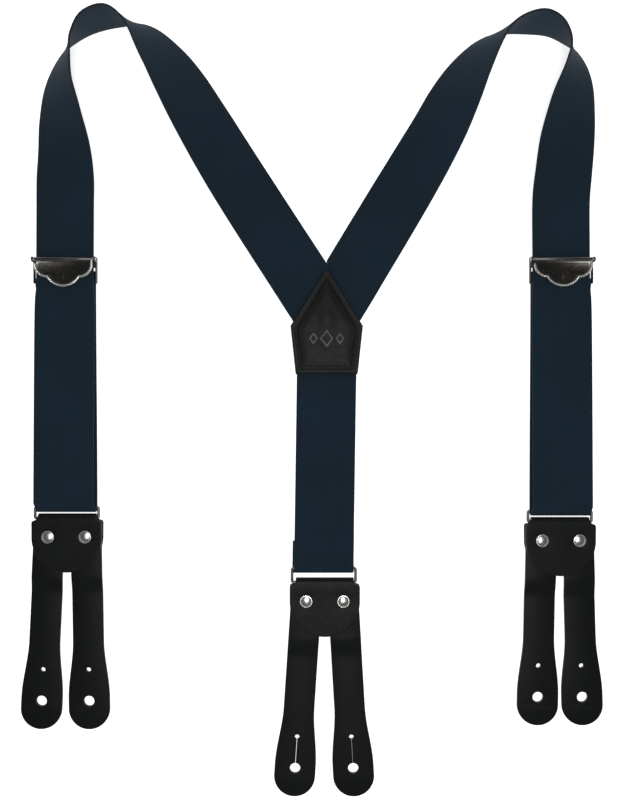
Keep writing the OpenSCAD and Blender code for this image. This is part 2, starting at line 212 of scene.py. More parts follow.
def score(piece, axis, step):
    """Cuts a flat piece into rows along an axis, so that it can be bent and dented between them."""
    take(piece)
    low = min(v.co[axis] for v in piece.data.vertices)
    high = max(v.co[axis] for v in piece.data.vertices)
    count = max(1, round((high - low) / step))
    normal = Vector([float(i == axis) for i in range(3)])
    bpy.ops.object.mode_set(mode="EDIT")
    for i in range(1, count):
        bpy.ops.mesh.select_all(action="SELECT")
        bpy.ops.mesh.bisect(plane_co=normal * (low + (high - low) * i / count), plane_no=normal)
    bpy.ops.object.mode_set(mode="OBJECT")
    return piece


def shape(piece, rise):
    """Lifts each point by rise(x, y)."""
    for vertex in piece.data.vertices:
        vertex.co.z += rise(vertex.co.x, vertex.co.y)
    piece.data.update()
    return piece


def ease(t):
    """A smooth step from 0 to 1."""
    t = min(1.0, max(0.0, t))
    return t * t * (3 - 2 * t)


print("tools ready")

# %% [markdown]
# ## Laying a flat piece along a path
# Webbing and leather are cut flat and then bent. A Curve modifier does the same: the flat piece
# lies along X, and the modifier carries X along the path, keeping its real length. Each point of
# the path also has a roll, for a strap that leans on its edge, and a width. Before the piece is
# bent, its flat position is stored in an attribute called cloth, so that the weave follows the
# strap.

# %% Path tools
ROUTE_STEPS = 8


def between(a, b, c, d, t):
    """A smooth value from b to c, given its neighbours a and d."""
    return (
        2 * b + (c - a) * t + (2 * a - 5 * b + 4 * c - d) * t**2 + (3 * b - a - 3 * c + d) * t**3
    ) / 2


def smooth_route(stations):
    last = len(stations) - 1
    route = []
    for k in range(last):
        near = [stations[max(0, min(last, k + i))] for i in (-1, 0, 1, 2)]
        for step in range(ROUTE_STEPS):
            route.append([between(*four, step / ROUTE_STEPS) for four in zip(*near)])
    return route + [list(stations[last])]


def path_length(path):
    return sum((Vector(b[:3]) - Vector(a[:3])).length for a, b in zip(path, path[1:]))


def remember_flat(piece, start=0.0):
    """Stores where each point lies on the flat cloth, in metres from the strap's first end."""
    flat = piece.data.attributes.new("cloth", "FLOAT_VECTOR", "POINT")
    for vertex, stored in zip(piece.data.vertices, flat.data):
        stored.vector = (vertex.co.x + start, vertex.co.y, vertex.co.z)


def lay(piece, path, twist="MINIMUM"):
    """Bends a flat piece along a path of (x, y, z, roll, width share)."""
    line = bpy.data.curves.new("path", "CURVE")
    line.dimensions = "3D"
    line.twist_mode = twist
    spline = line.splines.new("POLY")
    spline.points.add(len(path) - 1)
    for point, (x, y, z, roll, share) in zip(spline.points, path):
        point.co = (x, y, z, 1)
        point.tilt = roll
        point.radius = share
    guide = bpy.data.objects.new("path", line)
    bpy.context.collection.objects.link(guide)
    use_modifier(piece, "CURVE", object=guide, deform_axis="POS_X")
    bpy.data.objects.remove(guide)
    return piece


def fold_path(line):
    """A path straight down the middle from (y, z) points in millimetres, smoothed between them."""
    stations = smooth_route([(0, y, z, 0, 1) for y, z in line])
    return [(0, y * MM, z * MM, 0.0, 1.0) for _, y, z, _, _ in stations]


def lean(piece, place):
    """Moves each point sideways to place(distance along the flat strap, y)."""
    for vertex, stored in zip(piece.data.vertices, piece.data.attributes["cloth"].data):
        vertex.co.x += place(stored.vector.x, vertex.co.y)
    piece.data.update()


print("path tools ready")

# %% [markdown]
# ## Colours and the node helper
# Colours are written as the sRGB values a screen shows, and one function turns them into the
# linear values that light is reckoned in. One small function adds a shader node with its settings
# and links.

# %% Material helpers
def srgb(code):
    parts = [int(code[i : i + 2], 16) / 255 for i in (1, 3, 5)]
    linear = [p / 12.92 if p <= 0.04045 else ((p + 0.055) / 1.055) ** 2.4 for p in parts]
    return (*linear, 1.0)


def add_node(tree, kind, sockets=None, links=None, **properties):
    """Adds a shader node: its properties, the values of its sockets, and what feeds them."""
    node = tree.nodes.new(kind)
    for name, value in properties.items():
        setattr(node, name, value)
    for name, value in (sockets or {}).items():
        node.inputs[name].default_value = value
    for name, output in (links or {}).items():
        tree.links.new(output, node.inputs[name])
    return node


def new_material(name, shader):
    """A Principled material. Returns the material, its tree and its shader node."""
    material = bpy.data.materials.new(name)
    material.use_nodes = True
    tree = material.node_tree
    bsdf = tree.nodes["Principled BSDF"]
    for socket, value in shader.items():
        bsdf.inputs[socket].default_value = value
    return material, tree, bsdf


def blend_colours(tree, share, low, high):
    """A node that mixes two colours by a share."""
    return add_node(
        tree,
        "ShaderNodeMix",
        {6: srgb(low), 7: srgb(high)},
        {0: share},
        data_type="RGBA",
    )


def wear(*slots):
    """Returns a function that gives a piece these materials."""
    def dress(piece):
        piece.data.materials.clear()
        for slot in slots:
            piece.data.materials.append(slot)
        return piece
    return dress


print("material helpers ready")

# %% [markdown]
# ## Woven elastic
# The straps are knitted-in rubber covered with navy polyester. The yarns make fine ribs along the
# strap, crossed by the weft. Real ribs are about 0.8 mm apart, which is too fine for a picture of
# the whole pair, so they are drawn 1.5 mm apart. Polyester yarn is matt, with a little sheen at a
# glance.

# %% Webbing material
RIB_PITCH = 1.5 * MM
PICK_PITCH = 1.2 * MM
WAVE_PERIOD = math.pi / 10  # a wave texture of scale 1 repeats after this distance


def woven_elastic():
    material, tree, bsdf = new_material(
        "woven_elastic_navy",
        {
            "Roughness": 0.78,
            "Specular IOR Level": 0.12,
            "Sheen Weight": 0.03,
            "Sheen Roughness": 0.4,
            "Sheen Tint": srgb("#6f8fae"),
        },
    )
    cloth = add_node(tree, "ShaderNodeAttribute", attribute_name="cloth").outputs["Vector"]
    ribs = add_node(
        tree,
        "ShaderNodeTexWave",
        {"Scale": WAVE_PERIOD / RIB_PITCH, "Distortion": 0.15, "Detail": 1.0},
        {"Vector": cloth},
        bands_direction="Y",
    ).outputs["Fac"]
    picks = add_node(
        tree,
        "ShaderNodeTexWave",
        {"Scale": WAVE_PERIOD / PICK_PITCH, "Distortion": 0.6, "Detail": 1.0},
        {"Vector": cloth},
        bands_direction="X",
    ).outputs["Fac"]
    crossed = add_node(
        tree, "ShaderNodeMapRange", {"To Min": 0.62, "To Max": 1.0}, {"Value": picks}
    ).outputs[0]
    weave = add_node(tree, "ShaderNodeMath", links={0: ribs, 1: crossed}, operation="MULTIPLY")
    fibre = add_node(
        tree, "ShaderNodeTexNoise", {"Scale": 1 / (0.9 * MM), "Detail": 3.0}, {"Vector": cloth}
    ).outputs["Fac"]
    shade = add_node(
        tree, "ShaderNodeTexNoise", {"Scale": 1 / (45 * MM), "Detail": 2.0}, {"Vector": cloth}
    ).outputs["Fac"]
    tone = add_node(tree, "ShaderNodeMath", {1: 0.45}, {0: weave.outputs[0]}, operation="MULTIPLY")
    tone = add_node(
        tree, "ShaderNodeMath", {1: 0.3}, {0: fibre, 2: tone.outputs[0]}, operation="MULTIPLY_ADD"
    )
    tone = add_node(
        tree, "ShaderNodeMath", {1: 0.45}, {0: shade, 2: tone.outputs[0]}, operation="MULTIPLY_ADD"
    )
    colour = blend_colours(tree, tone.outputs[0], "#0d1822", "#1d303e")
    tree.links.new(colour.outputs[2], bsdf.inputs["Base Color"])
    relief = add_node(
        tree, "ShaderNodeMath", {1: 0.35}, {0: fibre, 2: weave.outputs[0]}, operation="MULTIPLY_ADD"
    )
    bump = add_node(
        tree,
        "ShaderNodeBump",
        {"Strength": 0.35, "Distance": 0.12 * MM},
        {"Height": relief.outputs[0]},
    )
    tree.links.new(bump.outputs[0], bsdf.inputs["Normal"])
    return material


def selvedge_with_painted_highlight():
    """The strap's edge, where the binding yarn shows, coloured a paler grey than the face: painted
    highlight where light catches the edge.
    """
    material, tree, bsdf = new_material(
        "selvedge_grey_painted_highlight", {"Roughness": 0.85, "Specular IOR Level": 0.15}
    )
    cloth = add_node(tree, "ShaderNodeAttribute", attribute_name="cloth").outputs["Vector"]
    picks = add_node(
        tree,
        "ShaderNodeTexWave",
        {"Scale": WAVE_PERIOD / PICK_PITCH, "Distortion": 0.8},
        {"Vector": cloth},
        bands_direction="X",
    ).outputs["Fac"]
    colour = blend_colours(tree, picks, "#171c22", "#363a3e")
    tree.links.new(colour.outputs[2], bsdf.inputs["Base Color"])
    bump = add_node(
        tree, "ShaderNodeBump", {"Strength": 0.4, "Distance": 0.15 * MM}, {"Height": picks}
    )
    tree.links.new(bump.outputs[0], bsdf.inputs["Normal"])
    return material


webbing = woven_elastic()
selvedge = selvedge_with_painted_highlight()
print("webbing materials:", webbing.name, selvedge.name)

# %% [markdown]
# ## Black leather
# The patch, flaps and legs are dyed and waxed cowhide. Dye takes a little unevenly, the grain is a
# net of shallow cells under a millimetre across, and wax fills it enough for a soft shine. The cut
# edges are burnished and show the raw leather's browner tone. Their paler colour is also painted
# highlight: the thin line of light that a cut edge catches.

# %% Leather materials
GRAIN = 0.75 * MM


def bridle_leather(name, low, high, roughness, grain_depth):
    material, tree, bsdf = new_material(name, {"Specular IOR Level": 0.14})
    place = add_node(tree, "ShaderNodeTexCoord").outputs["Object"]
    cells = add_node(
        tree, "ShaderNodeTexVoronoi", {"Scale": 1 / GRAIN}, {"Vector": place}, feature="F1"
    ).outputs["Distance"]
    creases = add_node(
        tree,
        "ShaderNodeTexNoise",
        {"Scale": 1 / (5 * MM), "Detail": 6.0, "Roughness": 0.62},
        {"Vector": place},
    ).outputs["Fac"]
    patches = add_node(
        tree, "ShaderNodeTexNoise", {"Scale": 1 / (22 * MM), "Detail": 2.0}, {"Vector": place}
    ).outputs["Fac"]
    colour = blend_colours(tree, patches, low, high)
    tree.links.new(colour.outputs[2], bsdf.inputs["Base Color"])
    shine = add_node(
        tree,
        "ShaderNodeMapRange",
        {"To Min": roughness - 0.09, "To Max": roughness + 0.12},
        {"Value": creases},
    )
    tree.links.new(shine.outputs[0], bsdf.inputs["Roughness"])
    height = add_node(
        tree, "ShaderNodeMath", {1: 1.4}, {0: creases, 2: cells}, operation="MULTIPLY_ADD"
    )
    bump = add_node(
        tree,
        "ShaderNodeBump",
        {"Strength": grain_depth, "Distance": 0.1 * MM},
        {"Height": height.outputs[0]},
    )
    tree.links.new(bump.outputs[0], bsdf.inputs["Normal"])
    return material


leather = bridle_leather("waxed_black_leather", "#090c0a", "#131815", 0.44, 0.35)
# The ornament's pressed floors are glossier, as pressed leather is, and coloured lighter than the
# rest as painted highlight.
pressed_leather_highlight = bridle_leather("pressed_leather_painted_highlight", "#181b19", "#232825", 0.22, 0.1)
# Cut edges: the raw leather's own browner tone, painted a little paler as highlight where an edge
# catches the light.
leather_edge_highlight = bridle_leather("leather_edge_painted_highlight", "#0d0e0c", "#1a1917", 0.42, 0.2)
print("leather materials:", leather.name, leather_edge_highlight.name)

# %% [markdown]
# ## Nickel, old nickel and thread
# Rings, pins and rivets are steel with nickel plate. On pins and rivets it is bright: almost white,
# mirror-like, with fine scuffs that blur the shine in places. On the rings, the adjuster's barrel
# and its sloping ledge, the plate is painted much darker: a painted reflection of the dark
# surroundings.
# The adjuster's field is the same plate darkened with a brown patina that the polishing wheel has
# left in the hollows. Thread is waxed, twisted polyester.

# %% Metal and thread materials
def plated_metal(name, low, high, roughness, spread):
    material, tree, bsdf = new_material(name, {"Metallic": 1.0})
    place = add_node(tree, "ShaderNodeTexCoord").outputs["Object"]
    scuffs = add_node(
        tree,
        "ShaderNodeTexNoise",
        {"Scale": 1 / (1.3 * MM), "Detail": 5.0, "Roughness": 0.7},
        {"Vector": place},
    ).outputs["Fac"]
    cloud = add_node(
        tree, "ShaderNodeTexNoise", {"Scale": 1 / (6 * MM), "Detail": 2.0}, {"Vector": place}
    ).outputs["Fac"]
    colour = blend_colours(tree, cloud, low, high)
    tree.links.new(colour.outputs[2], bsdf.inputs["Base Color"])
    shine = add_node(
        tree,
        "ShaderNodeMapRange",
        {"To Min": roughness, "To Max": roughness + spread},
        {"Value": scuffs},
    )
    tree.links.new(shine.outputs[0], bsdf.inputs["Roughness"])
    bump = add_node(
        tree, "ShaderNodeBump", {"Strength": 0.12, "Distance": 0.05 * MM}, {"Height": scuffs}
    )
    tree.links.new(bump.outputs[0], bsdf.inputs["Normal"])
    return material


def waxed_thread():
    material, tree, bsdf = new_material(
        "waxed_thread", {"Roughness": 0.55, "Specular IOR Level": 0.4}
    )
    place = add_node(tree, "ShaderNodeTexCoord").outputs["Object"]
    twist = add_node(
        tree,
        "ShaderNodeTexWave",
        {"Scale": WAVE_PERIOD / (0.45 * MM)},
        {"Vector": place},
        bands_direction="DIAGONAL",
    ).outputs["Fac"]
    colour = blend_colours(tree, twist, "#050607", "#101317")
    tree.links.new(colour.outputs[2], bsdf.inputs["Base Color"])
    bump = add_node(
        tree, "ShaderNodeBump", {"Strength": 0.5, "Distance": 0.08 * MM}, {"Height": twist}
    )
    tree.links.new(bump.outputs[0], bsdf.inputs["Normal"])
    return material


nickel = plated_metal("bright_nickel_plate", "#b9b8b4", "#e2e1dd", 0.16, 0.22)
# Nickel painted much darker: a painted reflection of the dark surroundings, for the rings, the
# adjuster's barrel and its sloping ledge.
dark_reflection_nickel = plated_metal("nickel_painted_dark_reflection", "#454543", "#6e6d6a", 0.2, 0.2)
old_nickel = plated_metal("antiqued_nickel_plate", "#2c2b28", "#4b4945", 0.3, 0.25)
thread = waxed_thread()
print("metals and thread:", nickel.name, old_nickel.name, thread.name)

# %% [markdown]
# ## Cutting webbing
# A strap starts as a flat grid, as wide as the loom made it, and gets its thickness from a
# Solidify modifier. Its long edges are rounded, because a woven edge is never square, and the side
# walls are coloured a paler grey than the face: painted highlight where light catches the edge.

# %% Webbing
WEB_WIDTH = 38 * MM
WEB_THICKNESS = 1.4 * MM
WEB_COLUMNS = 20
EDGE_ROUND = 0.35 * MM


def cut_webbing(name, length, row, start=0.0):
    """A flat length of webbing along X from 0, its middle at height 0."""
    clear_selection()
    bpy.ops.mesh.primitive_grid_add(
        x_subdivisions=max(2, round(length / row)), y_subdivisions=WEB_COLUMNS, size=1
    )
    strap = named(name)
    strap.data.transform(
        Matrix.Translation((length / 2, 0, 0)) @ Matrix.Diagonal((length, WEB_WIDTH, 1, 1))
    )
    use_modifier(strap, "SOLIDIFY", thickness=WEB_THICKNESS, offset=0)
    bpy.ops.object.mode_set(mode="EDIT")
    bpy.ops.mesh.select_mode(type="EDGE")
    bpy.ops.mesh.select_all(action="DESELECT")
    bpy.ops.object.mode_set(mode="OBJECT")
    points = strap.data.vertices
    for edge in strap.data.edges:
        a, b = (points[i].co for i in edge.vertices)
        on_edge = abs(a.y) > 0.499 * WEB_WIDTH and abs(b.y) > 0.499 * WEB_WIDTH
        edge.select = on_edge and abs(a.x - b.x) > 0.1 * MM
    bpy.ops.object.mode_set(mode="EDIT")
    bpy.ops.mesh.bevel(offset=EDGE_ROUND, segments=2, profile=0.5)
    bpy.ops.object.mode_set(mode="OBJECT")
    wear(webbing, selvedge)(strap)
    # The side walls take the paler grey edge colour: painted highlight.
    for face in strap.data.polygons:
        face.material_index = int(abs(face.normal.y) > 0.85)
    remember_flat(strap, start)
    return strap


# %% [markdown]
# ## The shoulder straps
# Each strap leaves the yoke flat, leans over more and more, stands on its edge at the top of the
# shoulder arch, and lies down again before the adjuster. The stations below were chosen one
# wherever the bend changes: x, y, roll in degrees, height of the lower edge and width, in
# millimetres.

# %% Shoulder strap routes
BACK_X = 9
LEFT_X = -158
RIGHT_X = 159
FRONT_Z = 4.6
YOKE_Z = 2.9
ADJUSTER_WEB = 36.4
left_ring_low, left_ring_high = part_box("left_ring")
right_ring_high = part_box("right_ring")[1]
back_ring_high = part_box("back_ring")[1]
WIRE = 0.9 * MM
RING_BAR_Z = (left_ring_low.z + left_ring_high.z) / 2
LEFT_RING_Y = (left_ring_high.y - WIRE) / MM
RIGHT_RING_Y = (right_ring_high.y - WIRE) / MM
BACK_RING_Y = (back_ring_high.y - WIRE) / MM
FOLD_START = 3.25  # how far above the ring's bar the front layer ends and the fold begins

LEFT_ROUTE = [
    (17, 47.5, 0, YOKE_Z, 38), (-2, 77, 0, YOKE_Z, 38), (-11, 91, 1, 2.3, 38),
    (-31, 122, 4, 0.4, 38), (-52, 155, 12, 0, 38), (-71, 186.5, 24, 0, 38),
    (-83, 207, 34, 0, 38), (-94, 223.5, 47, 0, 38), (-107, 238.5, 64, 0, 38),
    (-123, 245.5, 86, 0, 38), (-138, 242, 86, 0, 38), (-147.5, 233.5, 76, 0, 38),
    (-153.5, 223, 64, 0, 38), (-158, 206, 50, 0, 38), (-158.3, 187, 35, 0, 38),
    (-157, 166, 19, 0.5, 38), (-156.6, 148, 6, 3.4, 37.5),
    (LEFT_X + 1.2, 132, 0, FRONT_Z, ADJUSTER_WEB), (LEFT_X + 1.1, 104, 0, FRONT_Z, ADJUSTER_WEB),
    (LEFT_X + 1, 80, 0, FRONT_Z, ADJUSTER_WEB), (LEFT_X + 0.7, 58, 0, FRONT_Z, 38),
    (LEFT_X, LEFT_RING_Y + FOLD_START, 0, FRONT_Z, 38),
]
RIGHT_ROUTE = [
    (1, 47, 0, YOKE_Z, 38), (19.5, 77, 0, YOKE_Z, 38), (29, 93, 1, 2.3, 38),
    (47, 123, 6, 0.4, 38), (66, 155, 16, 0, 38), (79, 178, 26, 0, 38),
    (89, 198, 36, 0, 38), (99, 216, 51, 0, 38), (110, 230.5, 66, 0, 38),
    (122, 239, 80, 0, 38), (138, 242, 89, 0, 38), (150, 239, 84, 0, 38),
    (158.5, 231, 74, 0, 38), (163, 221.5, 60, 0, 38), (164.7, 208, 44, 0, 38),
    (163.3, 190, 28, 0, 38), (161.5, 172, 15, 0.5, 38), (159.2, 152, 6, 3.2, 37),
    (RIGHT_X - 1.4, 134, 0, FRONT_Z, ADJUSTER_WEB), (RIGHT_X - 1.4, 104, 0, FRONT_Z, ADJUSTER_WEB),
    (RIGHT_X - 1.2, 80, 0, FRONT_Z, ADJUSTER_WEB), (RIGHT_X - 0.9, 58, 0, FRONT_Z, 38),
    (RIGHT_X - 0.2, RIGHT_RING_Y + FOLD_START, 0, FRONT_Z, 38),
]
def strap_path(stations, side):
    """The middle line of a strap. side is 1 where its left edge rises, else -1."""
    path = []
    for x, y, roll, lower, width in smooth_route(stations):
        lean = math.radians(roll)
        rise = width / 2 * math.sin(lean) + WEB_THICKNESS / MM / 2 * math.cos(lean)
        path.append((x * MM, y * MM, (lower + rise) * MM, side * lean, width / 38))
    return path


def shoulder_strap(name, stations, side):
    path = strap_path(stations, side)
    length = path_length(path)
    strap = cut_webbing(name + "_webbing", length, 2.6 * MM)
    lay(strap, path, twist="Z_UP")
    take(strap)
    bpy.ops.object.mode_set(mode="EDIT")
    bpy.ops.mesh.select_all(action="SELECT")
    bpy.ops.mesh.bisect(
        plane_co=(BACK_X * MM, 0, 0),
        plane_no=(side, 0, 0),
        clear_outer=True,
        use_fill=True,
    )
    bpy.ops.object.mode_set(mode="OBJECT")
    smooth(strap)
    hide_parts(name)
    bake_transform(strap)
    print(name, "is", round(length / MM), "mm long")
    return strap, length


# %% [markdown]
# ## The yoke's leather
# Two pieces of leather hold the three straps together. The rear one lies flat. The front one is
# pressed over the straps, so its middle stands a little proud of its stitched margin, and a small
# ornament is debossed in it. The stitches lie in a shallow channel that the thread has pulled in.

# %% Yoke patches
patch_low, patch_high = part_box("yoke_front_patch")
rear_low, rear_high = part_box("yoke_rear_patch")
PATCH_CORNERS = [
    (0, patch_high.y + 0.6 * MM),
    (23 * MM, 55 * MM),
    (19.75 * MM, patch_low.y),
    (-19.75 * MM, patch_low.y),
    (-23 * MM, 55 * MM),
]
STITCH_MARGIN = 3.4 * MM


def inset_corners(inset):
    """The patch's corners, moved inwards."""
    return [
        (0, PATCH_CORNERS[0][1] - 1.6 * inset),
        (PATCH_CORNERS[1][0] - inset, PATCH_CORNERS[1][1] - 0.3 * inset),
        (PATCH_CORNERS[2][0] - inset, PATCH_CORNERS[2][1] + inset),
        (-PATCH_CORNERS[2][0] + inset, PATCH_CORNERS[2][1] + inset),
        (-PATCH_CORNERS[1][0] + inset, PATCH_CORNERS[1][1] - 0.3 * inset),
    ]


def rounded(corners, radius, steps=5):
    """An outline with each of its corners replaced by an arc."""
    outline = []
    for i, corner in enumerate(corners):
        here = Vector(corner)
        a = (Vector(corners[i - 1]) - here).normalized()
        b = (Vector(corners[(i + 1) % len(corners)]) - here).normalized()
        half = a.angle(b) / 2
        middle = here + (a + b).normalized() * radius / math.sin(half)
        first = here + a * radius / math.tan(half) - middle
        turn = math.pi - 2 * half
        way = -1 if a.cross(b) > 0 else 1
        for k in range(steps + 1):
            t = way * turn * k / steps
            c, s = math.cos(t), math.sin(t)
            outline.append(
                (middle.x + first.x * c - first.y * s, middle.y + first.x * s + first.y * c)
            )
    return outline


def seam_distance(x, y, corners):
    """How far a point is from the nearest side of an outline."""
    here = Vector((x, y))
    best = 1.0
    for i, corner in enumerate(corners):
        a, b = Vector(corner), Vector(corners[(i + 1) % len(corners)])
        along = b - a
        t = min(1.0, max(0.0, (here - a).dot(along) / along.length_squared))
        best = min(best, (here - a - along * t).length)
    return best


def lozenge(x, y, half_width, half_height, wall):
    """An outline of a diamond, and a smaller one inside it, as two lists of corners."""
    outer = [(x, y + half_height), (x + half_width, y), (x, y - half_height), (x - half_width, y)]
    share = 1 - wall / min(half_width, half_height)
    inner = [(x + (a - x) * share, y + (b - y) * share) for a, b in outer]
    return outer, inner


# %% [markdown]
# The ornament is three plain diamonds in a row. It belongs to no maker.

# %% Yoke front patch
ORNAMENT_Y = 47 * MM


def yoke_patches():
    thickness = patch_high.z - patch_low.z
    front = blank("yoke_front_leather", rounded(PATCH_CORNERS, 1.5 * MM), thickness, patch_low.z)
    soften(front, 0.55 * MM)
    for x, half_width, half_height in ((0, 4.4, 5.6), (-8.4, 2.9, 3.8), (8.4, 2.9, 3.8)):
        figure = lozenge(x * MM, ORNAMENT_Y, half_width * MM, half_height * MM, 1.3 * MM)
        ring = blank("die", figure[0], 4 * MM, patch_high.z - 0.55 * MM)
        heart = blank("heart", figure[1], 6 * MM, patch_high.z - 1 * MM)
        cut(ring, heart)
        cut(front, ring)
    score(front, 0, 0.8 * MM)
    score(front, 1, 0.8 * MM)
    seam = inset_corners(STITCH_MARGIN)

    def pressed(x, y):
        gap = seam_distance(x, y, seam)
        inside = abs(x) < 19 * MM and seam_distance(x, y, PATCH_CORNERS) > STITCH_MARGIN
        channel = -0.38 * MM * math.exp(-((gap / (0.75 * MM)) ** 2))
        crown = 0.55 * MM * ease(gap / (6 * MM)) if inside else 0.0
        ridge = 0.75 * MM * math.exp(-((x / (5 * MM)) ** 2) - ((y - 60 * MM) / (11 * MM)) ** 2)
        return channel + crown + (ridge if inside else 0.0)

    top = (patch_low.z + patch_high.z) / 2
    pits = [
        face.index
        for face in front.data.polygons
        if face.normal.z > 0.9 and top < face.center.z < patch_high.z - 0.3 * MM
    ]
    for vertex in front.data.vertices:
        if vertex.co.z > top:
            vertex.co.z += pressed(vertex.co.x, vertex.co.y)
    rear_outline = rounded([(x, y - MM if y < 40 * MM else y) for x, y in PATCH_CORNERS], 1.5 * MM)
    rear = blank("yoke_rear_leather", rear_outline, rear_high.z - rear_low.z, rear_low.z)
    soften(rear, 0.45 * MM)
    for piece, node in ((front, "yoke_front_patch"), (rear, "yoke_rear_patch")):
        settle(piece, (BACK_X * MM, 0, 0))
        wear(leather, leather_edge_highlight, pressed_leather_highlight)(piece)
        for face in piece.data.polygons:
            face.material_index = int(abs(face.normal.z) < 0.55)
        smooth(piece)
        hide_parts(node)
        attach(piece, "root")
    # The ornament's pit floors take the lighter, glossier leather: painted highlight.
    for index in pits:
        front.data.polygons[index].material_index = 2
    return front


front_patch = yoke_patches()
shoulder_strap("left_shoulder_strap", LEFT_ROUTE, 1)
shoulder_strap("right_shoulder_strap", RIGHT_ROUTE, -1)
print("yoke:", len(front_patch.data.polygons), "faces in the front patch")

# %% [markdown]
# ## The back strap and its hem
# The back strap starts under the yoke, drops to the table and leans a little to the left. Its end
# passes round the ring and is stitched behind itself. The turned-back layer was not folded quite
# square, so it shows as a narrow step on the left.

# %% Back strap
BACK_LEAN = 0.0145
HEM_Z = 2.15
FLAT_Z = 0.7
WRAP_R = 2.3


def back_line(y):
    return BACK_X + BACK_LEAN * (y - 25)


def round_bar(ring_y, start, end, steps=14):
    """Points round a ring's bar as (y, z), in millimetres."""
    return arc(ring_y, RING_BAR_Z / MM, WRAP_R, start, end, steps)


def back_strap():
    y = BACK_RING_Y
    line = [(66, HEM_Z), (40, HEM_Z), (25, HEM_Z)]
    line += [(20, 1.9), (14, 0.95), (9, FLAT_Z), (-30, FLAT_Z)]
    line += [(y + 27, FLAT_Z), (y + 23, 1.0), (y + 19.5, 2.0), (y + 17, HEM_Z), (y + 10, HEM_Z)]
    line += [(y + 5.5, HEM_Z), (y + 3.4, 2.55), (y + 2.2, 3.65)]
    line += round_bar(y, 60, 270) + [(y + 3, FLAT_Z), (y + 17, FLAT_Z)]
    path = fold_path(line)
    length = path_length(path)
    fold = length - 24 * MM
    strap = cut_webbing("back_strap_webbing", length, 0.8 * MM)
    lay(strap, path)
    lean(strap, lambda s, py: back_line(py / MM) * MM - 1.1 * MM * ease((s - fold) / (9 * MM)))
    smooth(strap)
    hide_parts("back_strap")
    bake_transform(strap)
    print("back strap is", round(length / MM), "mm long")
    return strap


back_strap()

# %% [markdown]
# ## The doubled front ends
# Each front strap goes down to its ring, round the bar and back up behind itself, and its end is
# sewn round the adjuster's bar. The part behind is a piece of its own here, because it shortens by
# twice as much when the adjuster slides. It meets the front layer edge to edge just above the
# ring.

# %% Doubled ends
ADJUSTER_Y = 97
REAR_SHIFT = 0.7
SEWN_Y = ADJUSTER_Y - 13.5
FOLD_TOP_Z = 5.3
LEFT_FOLD_X = -156.5
RIGHT_FOLD_X = 157.7


def doubled_end(side, front_x, fold_x, sewn_x, ring_y):
    line = [(ring_y + FOLD_START, FOLD_TOP_Z), (ring_y + 1.8, FOLD_TOP_Z)]
    line += round_bar(ring_y, 90, 270) + [(ring_y + 6, FLAT_Z), (ring_y + 60, FLAT_Z)]
    line += arc(SEWN_Y, 2.15, 1.45, -90, 90, 10)
    line += [(SEWN_Y - 1.6, 3.25), (SEWN_Y - 3.6, 2.5), (SEWN_Y - 5.5, 2.15), (SEWN_Y - 14, 2.15)]
    path = fold_path(line)
    length = path_length(path)
    strap = cut_webbing(side + "_doubled_webbing", length, 0.8 * MM)
    lay(strap, path)

    def sideways(s, y):
        up = ease((y / MM - ring_y) / (SEWN_Y - ring_y))
        folded = fold_x + (sewn_x - fold_x) * up
        return (front_x + (folded - front_x) * ease(s / (4.5 * MM))) * MM

    lean(strap, sideways)
    smooth(strap)
    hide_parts(side + "_strap_return")
    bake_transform(strap)
    print(side, "doubled end is", round(length / MM), "mm long")
    return strap


doubled_end("left", LEFT_X, LEFT_FOLD_X, LEFT_X + REAR_SHIFT, LEFT_RING_Y)
doubled_end("right", RIGHT_X - 0.2, RIGHT_FOLD_X, RIGHT_X - REAR_SHIFT, RIGHT_RING_Y)

# %% [markdown]
# ## Stitching
# Each stitch is one short capsule of waxed thread, sunk for half its thickness. One is made from a
# small sphere, and the rest are copies of it. There are about a hundred, so each has few faces.

# %% Stitches
STITCH_STEP = 3.1


def stitch_run(name, places, node, body):
    """Stitches at places (x, y, z, direction), in metres and radians."""
    stitches = []
    for x, y, z, way in places:
        clear_selection()
        bpy.ops.mesh.primitive_uv_sphere_add(segments=8, ring_count=6, radius=1)
        stitch = named("stitch")
        stitch.data.transform(Matrix.Diagonal((1.15 * MM, 0.3 * MM, 0.24 * MM, 1)))
        stitches.append(settle(stitch, (x, y, z), way))
    run = smooth(wear(thread)(joined(name, stitches)), 80)
    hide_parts(node)
    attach(run, body)
    print(name, "has", len(places), "stitches")
    return run


def straight_row(x, y, z, width):
    count = int(width / STITCH_STEP)
    return [
        ((x + (k - (count - 1) / 2) * STITCH_STEP) * MM, y * MM, z * MM, 0.0) for k in range(count)
    ]


def seam_places(corners, z):
    places = []
    for i, corner in enumerate(corners):
        a, b = Vector(corner), Vector(corners[(i + 1) % len(corners)])
        count = int((b - a).length / (STITCH_STEP * MM))
        for k in range(count):
            x, y = a + (b - a) * (k + 0.5) / count
            places.append((x + BACK_X * MM, y, z, math.atan2(b.y - a.y, b.x - a.x)))
    return places


seam_z = patch_high.z - 0.27 * MM
stitch_run(
    "yoke_stitches", seam_places(inset_corners(STITCH_MARGIN), seam_z), "yoke_stitching", "root"
)
hem_x = back_line(BACK_RING_Y + 7)
hem_rows = [
    place
    for rise in (5, 9.5)
    for place in straight_row(hem_x, BACK_RING_Y + rise, 2.86, 36)
]
stitch_run("hem_stitches", hem_rows, "back_hem_stitching", "back_hem")
for side, x in (("left", LEFT_X + REAR_SHIFT), ("right", RIGHT_X - REAR_SHIFT)):
    row = straight_row(x, SEWN_Y - 9.5, 2.86, 36)
    stitch_run(side + "_end_stitches", row, side + "_end_stitching", side + "_adjuster")

# %% [markdown]
# ## Leather flaps
# A flap is cut as one piece, a rounded end on each side of a narrow waist, and folded over the
# ring's lower bar. Blind rivets pull it down onto the legs, so it dips a little round each of them.

